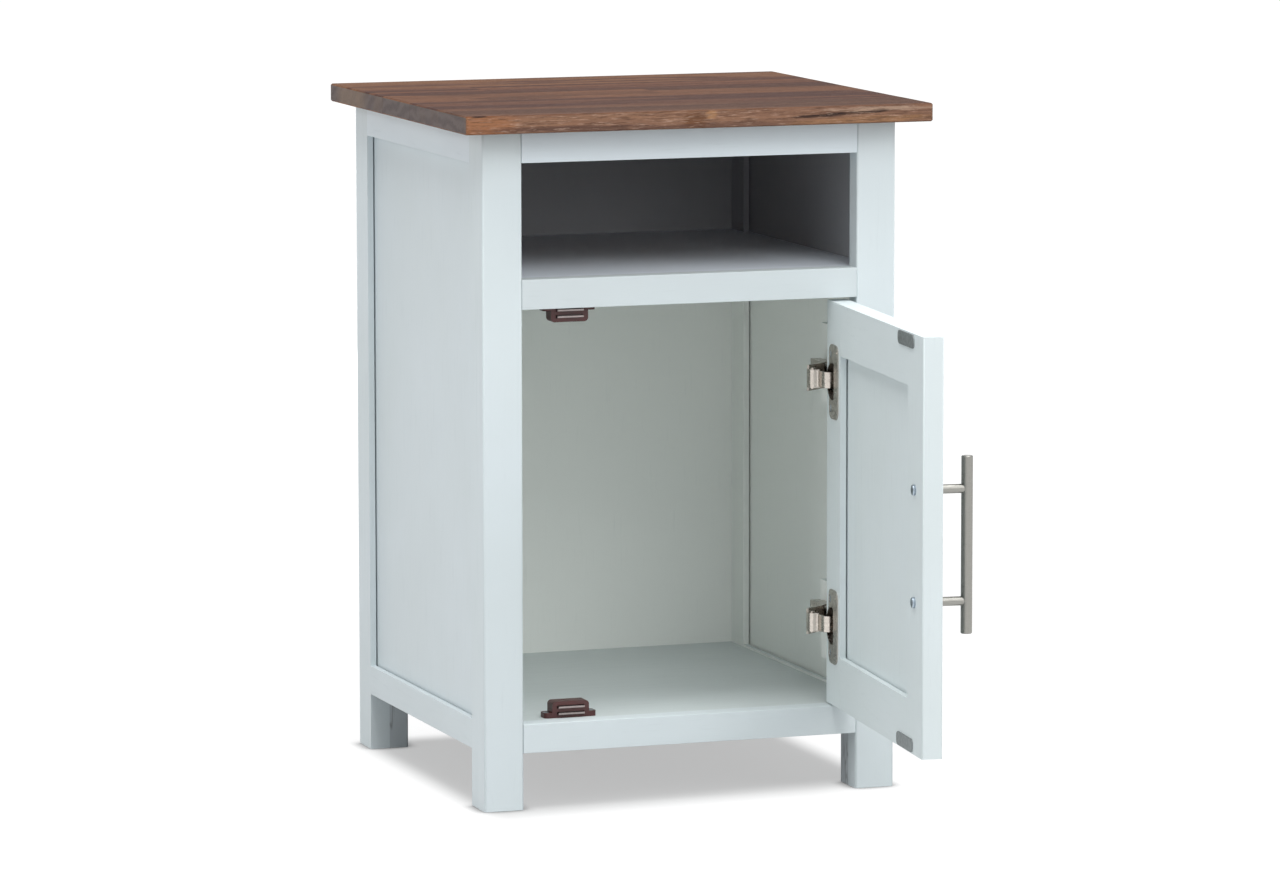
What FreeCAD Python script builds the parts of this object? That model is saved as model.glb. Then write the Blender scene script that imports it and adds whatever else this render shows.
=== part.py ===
import FreeCAD, Part
import math
import os

# Storage side table with an open compartment above a cupboard with one door.
# Millimetres. +X right, +Y back, +Z up. The origin is on the floor, midway
# between the sides, and midway in depth between the back and the reach of the
# open door. The door is made closed, in its opening, and then turned about its
# hinge pins to stand open, which is the rest pose.

V = FreeCAD.Vector

# ---- overall ---------------------------------------------------------------
height = 610.0
top_width = 430.0
top_thickness = 16.0
side_overhang = 24.0
front_overhang = 30.0
body_depth = 372.0
front_y = -41.9
stave_widths = (74.0, 86.0, 80.0, 76.0, 84.0)
top_corner_radius = 3.0
top_edge_chamfer = 1.2

# ---- boards ----------------------------------------------------------------
board = 18.0
leg_width = 36.0
leg_edge_radius = 1.8
panel_thickness = 4.0
groove_cheek = 5.5
groove_depth = 6.0
panel_play = 0.5
back_thickness = 4.0
back_rabbet = 6.0
shelf_thickness = 12.0
shelf_play = 0.3
cleat = 12.0
cleat_width = 15.0

# ---- rails: lower edge and height ------------------------------------------
front_top_rail_height = 28.0
middle_rail_height = 26.0
shelf_level = 464.7
bottom_rail_low = 50.0
bottom_rail_height = 25.4
side_top_rail_height = 29.5
side_bottom_rail_low = 51.0
side_bottom_rail_height = 26.5
floor_cleat_low = 50.5

# ---- door ------------------------------------------------------------------
door_gap = 2.5
door_gap_above = 3.2
door_gap_below = 1.6
hinge_stile_width = 44.5
handle_stile_width = 46.5
door_rail = 45.5
door_edge_radius = 1.2
open_angle = 84.35

# ---- concealed hinges ------------------------------------------------------
hinge_from_door_end = 70.5
cup_radius = 17.5
cup_wall = 1.0
cup_depth = 14.0
cup_floor = 0.8
cup_setback = 3.0
pocket_play = 0.1
flange_width = 28.0
flange_height = 66.0
flange_thickness = 1.0
flange_corner_radius = 8.0
flange_from_edge = 10.5
flange_screw_spacing = 48.0
flange_screw_setback = 5.0
flange_screw_sink = 0.5
peg_radius = 1.1
peg_height = 0.5
link_housing_from_edge = 26.0
pin_radius = 1.0
pin_clearance = 0.05
pin_from_edge = 8.9
pin_depth = 11.0
pin_half_length = 10.0
knuckle_radius = 1.9
lug_inner = 7.8
lug_width = 6.0
sheet = 2.4
neck_half_width = 7.0
neck_play = 0.5
neck_step_gap = 3.5
nose_half_width = 8.2
nose_reach = 7.6
nose_gap = 5.0
nose_rivet_radius = 2.4
nose_rivet_half = 9.4
arm_half_width = 11.5
arm_web_out = 14.0
arm_rear = 77.0
arm_front = 46.0
arm_lip_depth = 9.0
arm_lip_thickness = 1.2
plate_thickness = 2.0
plate_wing_half = 24.0
plate_wing_width = 16.0
plate_wing_from_front = 55.0
plate_screw_half_spacing = 16.0
ridge_half_width = 8.0

# ---- hinge blocks ----------------------------------------------------------
hinge_block = 70.0
hinge_block_shift = 7.0

# ---- handle ----------------------------------------------------------------
handle_spacing = 96.0
handle_drop = 0.8
handle_bar_radius = 5.0
handle_bar_length = 152.0
handle_post_radius = 4.0
handle_standoff = 28.0
handle_from_edge = 25.0
handle_screw_radius = 2.0
handle_screw_bite = 10.0
handle_head_radius = 4.6
handle_head_height = 2.4
handle_head_chamfer = 0.8
handle_end_chamfer = 0.6

# ---- magnetic catches ------------------------------------------------------
catch_from_leg = 27.0
catch_width = 48.0
catch_ear_thickness = 4.5
catch_depth = 14.0
catch_body_width = 34.0
catch_height = 14.5
catch_corner_radius = 3.5
catch_gap = 0.5
pole_reach = 3.0
pole_thickness = 1.5
pole_length = 24.0
pole_low = 3.2
pole_high = 8.9
slot_play = 0.6
catch_screw_radius = 1.7
catch_screw_length = 12.0
catch_head_radius = 3.0

# ---- strike plates ---------------------------------------------------------
strike_length = 48.0
strike_height = 11.5
strike_corner_radius = 4.5
strike_thickness = 1.2
strike_from_edge = 27.0
strike_edge_gap = 1.2

# ---- small fasteners -------------------------------------------------------
wood_screw_radius = 2.0
wood_screw_length = 14.0
countersink_radius = 3.6
countersink_depth = 1.6
top_screw_length = 26.0
top_screw_inset = 100.0
screw_play = 0.1
screw_sides = 10
recess_width = 0.8
recess_depth = 1.0

# ---- derived ---------------------------------------------------------------
under_top = height - top_thickness
body_width = top_width - 2 * side_overhang
side_x = body_width / 2
back_y = front_y + body_depth
middle_y = front_y + body_depth / 2
leg_x = side_x - leg_width
frame_x = side_x - board
rear_of_front_board = front_y + board
front_stile_back = front_y + leg_width
rear_stile_front = back_y - leg_width
back_panel_front = back_y - back_thickness
panel_play_side = board - 2 * groove_cheek - panel_thickness
panel_out = side_x - groove_cheek - panel_play_side / 2
panel_in = panel_out - panel_thickness
side_rail_top = side_bottom_rail_low + side_bottom_rail_height
side_top_rail_low = under_top - side_top_rail_height
middle_rail_low = shelf_level - middle_rail_height
floor_level = bottom_rail_low + bottom_rail_height
floor_low = floor_level - shelf_thickness

door_right = leg_x - door_gap
door_left = -leg_x + door_gap
door_low = floor_level + door_gap_below
door_high = middle_rail_low - door_gap_above
door_out = front_y
door_in = front_y + board
pivot = V(door_right - pin_from_edge, door_in - pin_depth, 0)
cup_x = door_right - cup_setback - cup_radius
link_housing_x = door_right - link_housing_from_edge
hinge_levels = {"upper": door_high - hinge_from_door_end, "lower": door_low + hinge_from_door_end}
catch_left = -leg_x + catch_from_leg
catch_centre = catch_left + catch_width / 2
strike_left = door_left + strike_from_edge
catch_front = door_in + strike_thickness + catch_gap + pole_reach
handle_level = (door_low + door_high) / 2 - handle_drop
handle_x = door_left + handle_from_edge

made = {}


def block(x0, x1, y0, y1, z0, z1):
    return Part.makeBox(x1 - x0, y1 - y0, z1 - z0, V(x0, y0, z0))


def rod(radius, start, end):
    along = end - start
    return Part.makeCylinder(radius, along.Length, start, along)


def across_of(direction):
    """Two directions square to the given one."""
    first = V(1, 0, 0) if abs(direction.x) < 0.5 else V(0, 1, 0)
    return first, direction.cross(first)


def peg(radius, far_radius, start, along, sides=screw_sides):
    """A many-sided peg or taper, for a fastener's shank and head."""
    across, other = across_of(V(along).normalize())
    turns = [2 * math.pi * k / sides for k in range(sides)]
    near, far = [
        [at + across * (size * math.cos(t)) + other * (size * math.sin(t)) for t in turns]
        for at, size in ((start, radius), (start + along, far_radius))
    ]
    flanks = [[near[k - 1], near[k], far[k], far[k - 1]] for k in range(sides)]
    faces = [Part.Face(Part.makePolygon(ring + ring[:1])) for ring in [near, far] + flanks]
    solid = Part.Solid(Part.Shell(faces))
    if solid.Volume < 0:
        solid.reverse()
    return solid


def cross_recess(point, direction, reach):
    """The cross-shaped drive in a screw's head."""
    bars = []
    across, other = across_of(direction)
    for long_way, short_way in ((across, other), (other, across)):
        corners = []
        for s, t in ((-1, -1), (1, -1), (1, 1), (-1, 1)):
            corners.append(point + long_way * (s * reach) + short_way * (t * recess_width / 2))
        bars.append(Part.Face(Part.makePolygon(corners + corners[:1])).extrude(direction * recess_depth))
    return bars[0].fuse(bars[1])


def countersunk(point, direction, length, radius=wood_screw_radius, head=countersink_radius):
    """A flat-headed screw whose head's face lies at point."""
    cone = peg(head, radius, point, direction * countersink_depth)
    shank = peg(radius, radius, point + direction * countersink_depth, direction * (length - countersink_depth))
    return cone.fuse(shank).removeSplitter().cut(cross_recess(point, direction, head * 0.5))


def screw_hole(point, direction, length, radius=wood_screw_radius, head=countersink_radius):
    """The seat of such a screw, with a little play all round."""
    cone = peg(head + screw_play, radius + screw_play, point, direction * countersink_depth)
    return cone.fuse(pilot(point, direction, length, radius))


def pilot(point, direction, length, radius=wood_screw_radius):
    """The hole for a screw's shank."""
    return peg(radius + screw_play, radius + screw_play, point, direction * (length + screw_play))


def along_z(edge, x=None, y=None):
    """True if the edge stands upright, at the given x and y."""
    a = edge.Vertexes[0].Point
    b = edge.Vertexes[-1].Point
    upright = abs(a.x - b.x) < 1e-6 and abs(a.y - b.y) < 1e-6
    return upright and (x is None or abs(a.x - x) < 1e-6) and (y is None or abs(a.y - y) < 1e-6)


def at_level(edge, z):
    return all(abs(v.Point.z - z) < 1e-6 for v in edge.Vertexes)


def round_uprights(shape, corners, radius):
    edges = [e for e in shape.Edges if any(along_z(e, x, y) for x, y in corners)]
    return shape.makeFillet(radius, edges)


def mirrored(shape):
    return shape.mirror(V(0, 0, 0), V(1, 0, 0))


def pair(name, shape):
    """The right-hand piece and its mirror image on the left."""
    made[name + "_right"] = shape
    made[name + "_left"] = mirrored(shape)


def both(shape):
    """The right-hand piece and its mirror image, as one node."""
    return Part.makeCompound([shape, mirrored(shape)])


# ---- timber top ------------------------------------------------------------
def timber_top():
    y0 = front_y - front_overhang
    whole = block(-top_width / 2, top_width / 2, y0, back_y, under_top, height)
    corners = [(x, y) for x in (-top_width / 2, top_width / 2) for y in (y0, back_y)]
    whole = round_uprights(whole, corners, top_corner_radius)
    rims = [e for e in whole.Edges if at_level(e, height) or at_level(e, under_top)]
    whole = whole.makeChamfer(top_edge_chamfer, rims)
    scale = (back_y - y0) / sum(stave_widths)
    for number, width in enumerate(stave_widths, 1):
        y1 = y0 + width * scale
        strip = block(-top_width, top_width, y0, y1, 0, 2 * height)
        if number == 1:
            strip = block(-top_width, top_width, y0 - 1, y1, 0, 2 * height)
        if number == len(stave_widths):
            strip = block(-top_width, top_width, y0, back_y + 1, 0, 2 * height)
        made["top_stave_%d" % number] = whole.common(strip)
        y0 = y1
    cleat_low = under_top - board
    right = block(leg_x, frame_x, front_stile_back, rear_stile_front, cleat_low, under_top)
    screws = []
    for y in (middle_y - top_screw_inset, middle_y + top_screw_inset):
        head = V((leg_x + frame_x) / 2, y, cleat_low)
        right = right.cut(screw_hole(head, V(0, 0, 1), top_screw_length))
        screws.append(countersunk(head, V(0, 0, 1), top_screw_length))
        for node in [n for n in made if n.startswith("top_stave")]:
            hole = pilot(head, V(0, 0, 1), top_screw_length)
            made[node] = made[node].cut(hole).cut(mirrored(hole))
    pair("top_cleat", right)
    made["top_screws"] = both(Part.makeCompound(screws))


# ---- legs and side frames --------------------------------------------------
def legs():
    front = block(leg_x, side_x, front_y, rear_of_front_board, 0, under_top)
    front = round_uprights(front, [(side_x, front_y), (leg_x, front_y)], leg_edge_radius)
    pair("front_leg", front)
    groove_x0 = side_x - board + groove_cheek
    groove_x1 = side_x - groove_cheek
    groove_low = side_rail_top - groove_depth
    stile = block(frame_x, side_x, rear_of_front_board, front_stile_back, 0, under_top)
    slot = block(groove_x0, groove_x1, front_stile_back - groove_depth, front_stile_back, groove_low, under_top)
    pair("front_side_stile", stile.cut(slot))
    rear = block(frame_x, side_x, rear_stile_front, back_y, 0, under_top)
    rear = round_uprights(rear, [(side_x, back_y)], leg_edge_radius)
    slot = block(groove_x0, groove_x1, rear_stile_front, rear_stile_front + groove_depth, groove_low, under_top)
    rabbet = block(frame_x, frame_x + back_rabbet, back_panel_front, back_y, floor_low, under_top)
    pair("rear_side_stile", rear.cut(slot).cut(rabbet))
    front_foot = block(leg_x, frame_x, rear_of_front_board, front_stile_back, 0, floor_low)
    made["front_foot_blocks"] = both(front_foot)
    rear_foot = block(leg_x, frame_x, rear_stile_front, back_y, 0, floor_low)
    made["rear_foot_blocks"] = both(round_uprights(rear_foot, [(leg_x, rear_stile_front)], leg_edge_radius))


def side_frames():
    groove_x0 = side_x - board + groove_cheek
    groove_x1 = side_x - groove_cheek
    top_rail = block(frame_x, side_x, front_stile_back, rear_stile_front, side_top_rail_low, under_top)
    slot_high = side_top_rail_low + groove_depth
    slot = block(groove_x0, groove_x1, front_stile_back, rear_stile_front, side_top_rail_low, slot_high)
    pair("side_top_rail", top_rail.cut(slot))
    low_rail = block(frame_x, side_x, front_stile_back, rear_stile_front, side_bottom_rail_low, side_rail_top)
    slot_low = side_rail_top - groove_depth
    slot = block(groove_x0, groove_x1, front_stile_back, rear_stile_front, slot_low, side_rail_top)
    pair("side_bottom_rail", low_rail.cut(slot))
    y0 = front_stile_back - groove_depth + panel_play
    y1 = rear_stile_front + groove_depth - panel_play
    pair("side_panel", block(panel_in, panel_out, y0, y1, slot_low, slot_high - panel_play))


# ---- front, back and shelves -----------------------------------------------
def front_rails():
    for name, low, tall in (
        ("front_top_rail", under_top - front_top_rail_height, front_top_rail_height),
        ("front_middle_rail", middle_rail_low, middle_rail_height),
        ("front_bottom_rail", bottom_rail_low, bottom_rail_height),
    ):
        made[name] = block(-leg_x, leg_x, front_y, rear_of_front_board, low, low + tall)


def back():
    low = floor_low
    reach = frame_x + back_rabbet - panel_play
    made["back_panel"] = block(-reach, reach, back_panel_front, back_y, low, under_top)
    rail_low = under_top - front_top_rail_height
    made["back_top_rail"] = block(-frame_x, frame_x, back_panel_front - board, back_panel_front, rail_low, under_top)
    made["back_bottom_rail"] = block(-leg_x, leg_x, back_y - board, back_y, floor_cleat_low, floor_low)


def shelves():
    low = shelf_level - shelf_thickness
    middle = block(-frame_x, frame_x, rear_of_front_board, back_panel_front, low, shelf_level)
    reach = panel_in - shelf_play
    wide = block(-reach, reach, front_stile_back + shelf_play, rear_stile_front - shelf_play, low, shelf_level)
    made["middle_shelf"] = middle.fuse(wide).removeSplitter()
    made["bottom_shelf"] = block(-frame_x, frame_x, rear_of_front_board, back_panel_front, floor_low, floor_level)
    upper = block(panel_in - cleat, panel_in, front_stile_back, rear_stile_front, low - cleat, low)
    made["middle_shelf_cleats"] = both(upper)
    lower = block(frame_x - cleat_width, frame_x, front_stile_back, rear_stile_front, floor_cleat_low, floor_low)
    made["bottom_shelf_cleats"] = both(lower)


# ---- concealed hinges ------------------------------------------------------
def bent_strip(points, radii, thickness, half_width):
    """A strip of sheet metal that follows points in plan, rounded at each bend."""
    edges = []
    start = points[0]
    for corner, beyond, radius in zip(points[1:-1], points[2:], radii):
        into = (corner - start).normalize()
        out = (beyond - corner).normalize()
        turn = into.getAngle(out)
        cut = radius * math.tan(turn / 2)
        first = corner - into * cut
        last = corner + out * cut
        inward = (out - into).normalize()
        middle = corner + inward * (radius / math.cos(turn / 2) - radius)
        edges.append(Part.LineSegment(start, first).toShape())
        edges.append(Part.Arc(first, middle, last).toShape())
        start = last
    edges.append(Part.LineSegment(start, points[-1]).toShape())
    path = Part.Wire(edges)
    side = (points[1] - points[0]).cross(V(0, 0, 1)).normalize() * (thickness / 2)
    rise = V(0, 0, half_width)
    at = points[0]
    outline = Part.makePolygon([at + side + rise, at - side + rise, at - side - rise, at + side - rise, at + side + rise])
    return path.makePipeShell([outline], True, False)


def hinge_block_and_plate(which, level):
    middle = level + (hinge_block_shift if which == "upper" else -hinge_block_shift)
    y1 = rear_of_front_board + hinge_block
    low = middle - hinge_block / 2
    timber = block(leg_x, frame_x, rear_of_front_board, y1, low, low + hinge_block)
    edges = [e for e in timber.Edges if along_z(e, leg_x, y1)]
    timber = timber.makeFillet(leg_edge_radius, edges)
    wing_y = front_y + plate_wing_from_front
    base = block(leg_x - plate_thickness, leg_x, wing_y - 26, wing_y + 26, level - 10, level + 10)
    wing_low = level - plate_wing_half
    half = plate_wing_width / 2
    wing = block(leg_x - plate_thickness, leg_x, wing_y - half, wing_y + half, wing_low, level + plate_wing_half)
    ends = [e for e in wing.Edges if abs(e.Length - plate_thickness) < 1e-6]
    wing = wing.makeFillet(half - 0.5, ends)
    web_in = leg_x - arm_web_out + sheet
    ridge = block(web_in, leg_x - plate_thickness, wing_y - 20, wing_y + 20, level - ridge_half_width, level + ridge_half_width)
    plate = base.fuse(wing).fuse(ridge).removeSplitter()
    screws = []
    for side in (-1, 1):
        head = V(leg_x - plate_thickness, wing_y, level + side * plate_screw_half_spacing)
        plate = plate.cut(screw_hole(head, V(1, 0, 0), wood_screw_length))
        timber = timber.cut(pilot(head, V(1, 0, 0), wood_screw_length))
        screws.append(countersunk(head, V(1, 0, 0), wood_screw_length))
    made[which + "_hinge_block"] = timber
    made[which + "_hinge_plate"] = plate
    return screws


def hinge_arm(which, level):
    """A lipped channel over the plate, cranked out to a nose, and a neck from there to the cup's pin."""
    web_x = leg_x - arm_web_out
    centre_x = web_x + sheet / 2
    rear_y = front_y + arm_rear
    pin = V(pivot.x, pivot.y, level)
    step_x = link_housing_x + neck_play + sheet / 2
    nose = V(step_x - nose_reach, door_in + nose_gap, level)
    bend = V(centre_x, front_y + arm_front, level)
    crank_end = V(nose.x, nose.y + 7.0, level)
    channel = bent_strip([V(centre_x, rear_y, level), bend, crank_end], [5.0], sheet, arm_half_width)
    halfway = (bend + crank_end) * 0.5
    step = V(step_x, door_in + neck_step_gap, level)
    path = [halfway, crank_end, nose, step, V(step_x, pin.y, level), pin]
    wrap = bent_strip(path[:4], [2.0, 3.0], sheet, nose_half_width)
    neck = bent_strip(path, [2.0, 3.0, 3.0, 6.0], sheet, neck_half_width)
    lip_outline = [
        V(web_x, rear_y, 0), V(web_x, bend.y, 0), V(crank_end.x, crank_end.y, 0),
        V(crank_end.x + 5.0, crank_end.y + 4.0, 0), V(web_x + arm_lip_depth, bend.y + 5.0, 0),
        V(web_x + arm_lip_depth, rear_y, 0),
    ]
    lip = Part.Face(Part.makePolygon(lip_outline + lip_outline[:1])).extrude(V(0, 0, arm_lip_thickness))
    arm = channel.fuse(wrap).fuse(neck)
    for z in (level - arm_half_width, level + arm_half_width - arm_lip_thickness):
        placed = lip.copy()
        placed.translate(V(0, 0, z))
        arm = arm.fuse(placed)
    reach = V(0, 0, neck_half_width)
    arm = arm.fuse(rod(knuckle_radius, pin - reach, pin + reach))
    rivet = V(nose.x + sheet / 2 + nose_rivet_radius - 0.4, nose.y + sheet / 2 + nose_rivet_radius - 0.4, level)
    rivet_reach = V(0, 0, nose_rivet_half)
    arm = arm.fuse(peg(nose_rivet_radius, nose_rivet_radius, rivet - rivet_reach, rivet_reach * 2))
    arm = arm.cut(rod(pin_radius + pin_clearance, pin - reach, pin + reach)).removeSplitter()
    clamp = V(web_x, rear_y - 9.0, level)
    hole = screw_hole(clamp, V(1, 0, 0), 8.0)
    made[which + "_hinge_arm"] = arm.cut(hole)
    made[which + "_hinge_plate"] = made[which + "_hinge_plate"].cut(hole)
    return countersunk(clamp, V(1, 0, 0), 8.0)


def hinge_cup(which, level):
    """Pressed cup, flange and link housing in the door's stile, made with the door closed."""
    face = V(cup_x, door_in, level)
    inward = V(0, -1, 0)
    surface = door_in + flange_thickness
    outer = Part.makeCylinder(cup_radius, cup_depth, face, inward)
    cavity_radius = cup_radius - cup_wall
    cavity = Part.makeCylinder(cavity_radius, cup_depth - cup_floor + flange_thickness, face - inward * flange_thickness, inward)
    housing = block(cup_x - cup_radius, link_housing_x, door_in - cup_depth, surface, level - cup_radius, level + cup_radius)
    x1 = door_right - flange_from_edge
    flange = block(x1 - flange_width, x1, door_in, surface, level - flange_height / 2, level + flange_height / 2)
    ends = [e for e in flange.Edges if abs(e.Length - flange_thickness) < 1e-6]
    flange = flange.makeFillet(flange_corner_radius, ends)
    rim = Part.makeCylinder(cup_radius, flange_thickness, face, -inward)
    cup = outer.fuse(flange).fuse(rim).cut(cavity.cut(housing))
    dimple = V(x1 - flange_width + 3.6, surface, level + flange_height / 2 - 6.5)
    cup = cup.fuse(rod(peg_radius, dimple, dimple - inward * peg_height))
    pin = V(pivot.x, pivot.y, level)
    floor_y = door_in - cup_depth + cup_floor
    for side in (-1, 1):
        z0 = level + side * lug_inner
        z1 = level + side * cavity_radius
        lug = block(pin.x - lug_width / 2, pin.x + lug_width, floor_y, pin.y + lug_width / 2, min(z0, z1), max(z0, z1))
        cup = cup.fuse(lug.common(outer))
    bore_reach = V(0, 0, pin_half_length)
    cup = cup.cut(rod(pin_radius + pin_clearance, pin - bore_reach, pin + bore_reach)).removeSplitter()
    screws = []
    for side in (-1, 1):
        head = flange_screw_place(level, side)
        cup = cup.cut(screw_hole(head, inward, wood_screw_length))
        well = countersink_radius + screw_play
        cup = cup.cut(peg(well, well, head, V(0, flange_screw_sink, 0)))
        screws.append(countersunk(head, inward, wood_screw_length))
    made[which + "_hinge_cup"] = cup
    return rod(pin_radius, pin - bore_reach, pin + bore_reach), screws


def flange_screw_place(level, side):
    return V(cup_x + flange_screw_setback, door_in + flange_thickness - flange_screw_sink, level + side * flange_screw_spacing / 2)


# ---- door ------------------------------------------------------------------
def door_frame(cup_screws):
    slot_y0 = door_out + groove_cheek
    slot_y1 = door_in - groove_cheek
    rail_x0 = door_left + handle_stile_width
    rail_x1 = door_right - hinge_stile_width
    panel_low = door_low + door_rail - groove_depth
    panel_high = door_high - door_rail + groove_depth
    hinge_stile = block(rail_x1, door_right, door_out, door_in, door_low, door_high)
    hinge_stile = hinge_stile.cut(block(rail_x1, rail_x1 + groove_depth, slot_y0, slot_y1, panel_low, panel_high))
    hinge_stile = round_uprights(hinge_stile, [(door_right, door_out), (door_right, door_in)], door_edge_radius)
    handle_stile = block(door_left, rail_x0, door_out, door_in, door_low, door_high)
    handle_stile = handle_stile.cut(block(rail_x0 - groove_depth, rail_x0, slot_y0, slot_y1, panel_low, panel_high))
    handle_stile = round_uprights(handle_stile, [(door_left, door_out), (door_left, door_in)], door_edge_radius)
    for level in hinge_levels.values():
        face = V(cup_x, door_in, level)
        pocket = Part.makeCylinder(cup_radius + pocket_play, cup_depth + pocket_play, face, V(0, -1, 0))
        hinge_stile = hinge_stile.cut(pocket)
        for side in (-1, 1):
            hinge_stile = hinge_stile.cut(screw_hole(flange_screw_place(level, side), V(0, -1, 0), wood_screw_length))
    for z in (handle_level - handle_spacing / 2, handle_level + handle_spacing / 2):
        handle_stile = handle_stile.cut(pilot(V(handle_x, door_in, z), V(0, -1, 0), board, handle_screw_radius))
    made["door_hinge_stile"] = hinge_stile
    made["door_handle_stile"] = handle_stile
    top_rail = block(rail_x0, rail_x1, door_out, door_in, door_high - door_rail, door_high)
    made["door_top_rail"] = top_rail.cut(block(rail_x0, rail_x1, slot_y0, slot_y1, door_high - door_rail, panel_high))
    low_rail = block(rail_x0, rail_x1, door_out, door_in, door_low, door_low + door_rail)
    made["door_bottom_rail"] = low_rail.cut(block(rail_x0, rail_x1, slot_y0, slot_y1, panel_low, door_low + door_rail))
    reach = groove_depth - panel_play
    y_mid = (door_out + door_in) / 2
    y0 = y_mid - panel_thickness / 2
    made["door_panel"] = block(rail_x0 - reach, rail_x1 + reach, y0, y0 + panel_thickness, panel_low, panel_high - panel_play)
    made["flange_screws"] = Part.makeCompound(cup_screws)


def handle():
    bar_y = door_out - handle_standoff
    half = handle_bar_length / 2
    bar = rod(handle_bar_radius, V(handle_x, bar_y, handle_level - half), V(handle_x, bar_y, handle_level + half))
    ends = [e for e in bar.Edges if at_level(e, handle_level - half) or at_level(e, handle_level + half)]
    posts = []
    screws = []
    for z in (handle_level - handle_spacing / 2, handle_level + handle_spacing / 2):
        post = rod(handle_post_radius, V(handle_x, door_out, z), V(handle_x, bar_y, z)).cut(bar)
        inner = V(handle_x, door_in, z)
        reach = board + handle_screw_bite
        thread = peg(handle_screw_radius, handle_screw_radius, inner, V(0, -reach, 0))
        posts.append(post.cut(pilot(inner, V(0, -1, 0), reach, handle_screw_radius)))
        rim = V(0, handle_head_height - handle_head_chamfer, 0)
        slope = V(0, handle_head_chamfer, 0)
        crown_radius = handle_head_radius - handle_head_chamfer
        head = peg(handle_head_radius, handle_head_radius, inner, rim, 2 * screw_sides)
        head = head.fuse(peg(handle_head_radius, crown_radius, inner + rim, slope, 2 * screw_sides))
        drive = cross_recess(V(handle_x, door_in + handle_head_height, z), V(0, -1, 0), handle_head_radius * 0.5)
        screws.append(head.cut(drive).fuse(thread))
    made["handle_bar"] = bar.makeChamfer(handle_end_chamfer, ends)
    made["handle_posts"] = Part.makeCompound(posts)
    made["handle_screws"] = Part.makeCompound(screws)


# ---- magnetic catches and strike plates ------------------------------------
def catch_pieces():
    """One catch standing on z = 0, its front at y = 0 and its centre at x = 0."""
    half = catch_width / 2
    base = block(-half, half, 0, catch_depth, 0, catch_ear_thickness)
    corners = [(x, y) for x in (-half, half) for y in (0, catch_depth)]
    base = round_uprights(base, corners, catch_corner_radius)
    inner = catch_body_width / 2
    hood = block(-inner, inner, 0, catch_depth, 0, catch_height)
    shoulders = [e for e in hood.Edges if at_level(e, catch_height)]
    shoulders = [e for e in shoulders if abs(e.Vertexes[0].Point.x - e.Vertexes[-1].Point.x) < 1e-6]
    hood = hood.makeFillet(catch_corner_radius, shoulders)
    housing = base.fuse(hood)
    poles = []
    for z in (pole_low, pole_high):
        slot_x = pole_length / 2 + slot_play
        cut = block(-slot_x, slot_x, 0, catch_depth - 2, z - slot_play, z + pole_thickness + slot_play)
        housing = housing.cut(cut)
        poles.append(block(-pole_length / 2, pole_length / 2, -pole_reach, catch_depth - 2, z, z + pole_thickness))
    magnet_low = pole_low + pole_thickness
    magnet = block(-pole_length / 2 + 1, pole_length / 2 - 1, 3, catch_depth - 2, magnet_low, pole_high)
    housing = housing.cut(magnet).removeSplitter()
    screws = []
    for side in (-1, 1):
        head = V(side * (half + inner) / 2, catch_depth / 2, catch_ear_thickness)
        down = V(0, 0, -1)
        housing = housing.cut(screw_hole(head, down, catch_screw_length, catch_screw_radius, catch_head_radius))
        screws.append(countersunk(head, down, catch_screw_length, catch_screw_radius, catch_head_radius))
    return housing, Part.makeCompound(poles), magnet, Part.makeCompound(screws)


def catches():
    names = ("catch_housing", "catch_poles", "magnet", "screws")
    pieces = catch_pieces()
    place = V(catch_centre, catch_front, floor_level)
    packer_low = middle_rail_low
    shelf_low = shelf_level - shelf_thickness
    packer_half = catch_width / 2 + 3
    packer = block(catch_centre - packer_half, catch_centre + packer_half, rear_of_front_board,
                   catch_front + catch_depth + 3, packer_low, shelf_low)
    screws = []
    magnets = []
    for which in ("lower", "upper"):
        for name, piece in zip(names, pieces):
            piece = piece.copy()
            if which == "upper":
                piece = piece.mirror(V(0, 0, 0), V(0, 0, 1))
                piece.translate(V(catch_centre, catch_front, packer_low))
            else:
                piece.translate(place)
            if name == "screws":
                screws.append(piece)
            elif name == "magnet":
                magnets.append(piece)
            else:
                made[which + "_" + name] = piece
    for side in (-1, 1):
        x = catch_centre + side * (catch_width + catch_body_width) / 4
        y = catch_front + catch_depth / 2
        bite = catch_screw_length - catch_ear_thickness
        down = pilot(V(x, y, floor_level), V(0, 0, -1), bite, catch_screw_radius)
        made["bottom_shelf"] = made["bottom_shelf"].cut(down)
        packer = packer.cut(pilot(V(x, y, packer_low), V(0, 0, 1), bite, catch_screw_radius))
    made["catch_packer"] = packer
    made["catch_screws"] = Part.makeCompound(screws)
    made["catch_magnets"] = Part.makeCompound(magnets)


def strikes():
    plates = []
    for low in (door_low + strike_edge_gap, door_high - strike_edge_gap - strike_height):
        x0 = strike_left
        plate = block(x0, x0 + strike_length, door_in, door_in + strike_thickness, low, low + strike_height)
        ends = [e for e in plate.Edges if abs(e.Length - strike_thickness) < 1e-6]
        plates.append(plate.makeFillet(strike_corner_radius, ends))
    made["strike_plates"] = Part.makeCompound(plates)


# ---- assembly --------------------------------------------------------------
timber_top()
legs()
side_frames()
front_rails()
back()
shelves()
plate_screws = []
clamp_screws = []
cup_screws = []
hinge_pins = []
for which, level in hinge_levels.items():
    plate_screws += hinge_block_and_plate(which, level)
    clamp_screws.append(hinge_arm(which, level))
    hinge_pin, flange_fixings = hinge_cup(which, level)
    hinge_pins.append(hinge_pin)
    cup_screws += flange_fixings
made["hinge_plate_screws"] = Part.makeCompound(plate_screws + clamp_screws)
made["hinge_pins"] = Part.makeCompound(hinge_pins)
door_frame(cup_screws)
handle()
catches()
strikes()

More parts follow.
